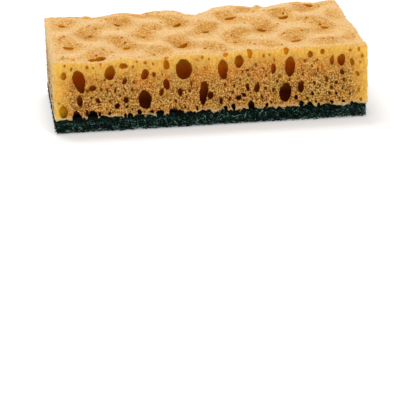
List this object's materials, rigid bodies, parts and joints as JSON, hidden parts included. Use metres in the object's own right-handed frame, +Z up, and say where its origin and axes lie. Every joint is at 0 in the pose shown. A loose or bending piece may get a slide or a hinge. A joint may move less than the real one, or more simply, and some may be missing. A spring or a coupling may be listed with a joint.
{
  "type": "cleaning sponge",
  "caption": "Rectangular open-pored foam block with a wave-cut top, bonded to a thin non-woven scouring pad.",
  "frame": {"origin": "middle of the scouring pad's underside, on the surface the sponge lies on", "axes": "+X along the length, +Y from the front face to the back face, +Z up through the foam"},
  "size_m": [0.096, 0.065, 0.0264],
  "materials": {
    "foam": "matte open-cell foam, caramel tan",
    "scourer": "matte non-woven fibre, dark teal green"
  },
  "bodies": {
    "root": {"foam_block": "foam", "scouring_pad": "scourer"}
  },
  "joints": []
}
